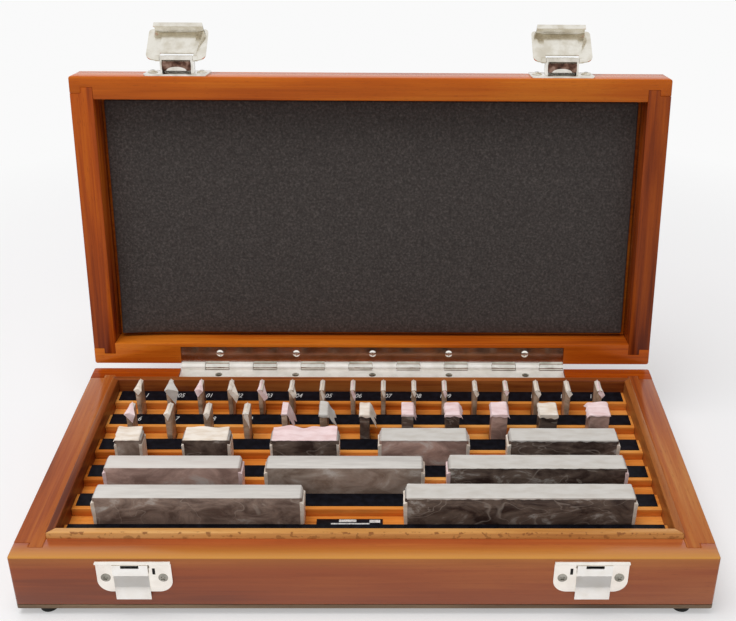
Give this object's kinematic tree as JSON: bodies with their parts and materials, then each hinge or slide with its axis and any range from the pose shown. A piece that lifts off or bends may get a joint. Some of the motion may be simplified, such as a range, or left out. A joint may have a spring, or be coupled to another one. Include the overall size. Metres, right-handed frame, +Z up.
{
  "type": "gauge block set",
  "caption": "Hinged wooden case with paper-wrapped steel gauge blocks standing in a slotted tray, foam-lined lid, full-width hinge and two hooked snap latches, lid open.",
  "frame": {"origin": "on the table, midway between the open set's left and right sides and between its front and rear extremes", "axes": "+X along the case's width to the right as seen from the front, +Y from the latched front to the hinged rear, +Z up"},
  "size_m": [0.302, 0.2054, 0.2081],
  "materials": {
    "varnished_wood": "gloss varnish over reddish stained hardwood",
    "bottom_board": "plain plywood sheet",
    "tray_wood": "satin varnish over light hardwood",
    "printed_label": "matt black printed strip",
    "foot_rubber": "matt",
    "foam": "open cell foam",
    "wrapped_steel": "lapped steel block inside a fold of waxed paper",
    "plated_steel": "bright nickel plate"
  },
  "bodies": {
    "case": {"base_bottom_board": "bottom_board", "base_front_board": "varnished_wood", "base_hinge_leaf": "plated_steel", "base_hinge_screws": "plated_steel", "base_left_board": "varnished_wood", "base_rear_board": "varnished_wood", "base_right_board": "varnished_wood", "blank_tag": "printed_label", "block_1": "wrapped_steel", "block_10": "wrapped_steel", "block_100": "wrapped_steel", "block_1_005": "wrapped_steel", "block_2": "wrapped_steel", "block_20": "wrapped_steel", "block_3": "wrapped_steel", "block_30": "wrapped_steel", "block_4": "wrapped_steel", "block_40": "wrapped_steel", "block_5": "wrapped_steel", "block_50": "wrapped_steel", "block_6": "wrapped_steel", "block_60": "wrapped_steel", "block_7": "wrapped_steel", "block_70": "wrapped_steel", "block_8": "wrapped_steel", "block_80": "wrapped_steel", "block_9": "wrapped_steel", "block_90": "wrapped_steel", "blocks_1_01_to_1_09": "wrapped_steel", "blocks_1_1_to_1_9": "wrapped_steel", "catch_plate_left": "plated_steel", "catch_plate_right": "plated_steel", "catch_screws": "plated_steel", "catch_strip_left": "plated_steel", "catch_strip_right": "plated_steel", "hinge_pin": "plated_steel", "label_strips": "printed_label", "lining_front": "tray_wood", "lining_left": "tray_wood", "lining_rear": "tray_wood", "lining_right": "tray_wood", "rubber_feet": "foot_rubber", "slot_board": "tray_wood", "tray_ribs": "tray_wood"},
    "lid": {"lid_front_board": "varnished_wood", "lid_rear_board": "varnished_wood", "lid_left_board": "varnished_wood", "lid_right_board": "varnished_wood", "lid_panel": "varnished_wood", "foam_pad": "foam", "lid_hinge_leaf": "plated_steel", "lid_hinge_screws": "plated_steel", "clasp_plate_left": "plated_steel", "clasp_plate_right": "plated_steel", "clasp_screws": "plated_steel", "clasp_pin_left": "plated_steel", "clasp_pin_right": "plated_steel"},
    "lever_left": {"clasp_lever_left": "plated_steel"},
    "lever_right": {"clasp_lever_right": "plated_steel"}
  },
  "joints": [
    {"name": "lid_hinge", "type": "hinge", "parent": "case", "child": "lid", "pos_m": [0, 0.05586, 0.0316], "axis": [1, 0, 0], "range_deg": [0, 98.3]},
    {"name": "lever_left_hinge", "type": "hinge", "parent": "lid", "child": "lever_left", "pos_m": [-0.098, 0.08718, 0.19297], "axis": [1, 0, 0], "range_deg": [0, 138.7]},
    {"name": "lever_right_hinge", "type": "hinge", "parent": "lid", "child": "lever_right", "pos_m": [0.0962, 0.08718, 0.19297], "axis": [1, 0, 0], "range_deg": [0, 138.7]}
  ]
}
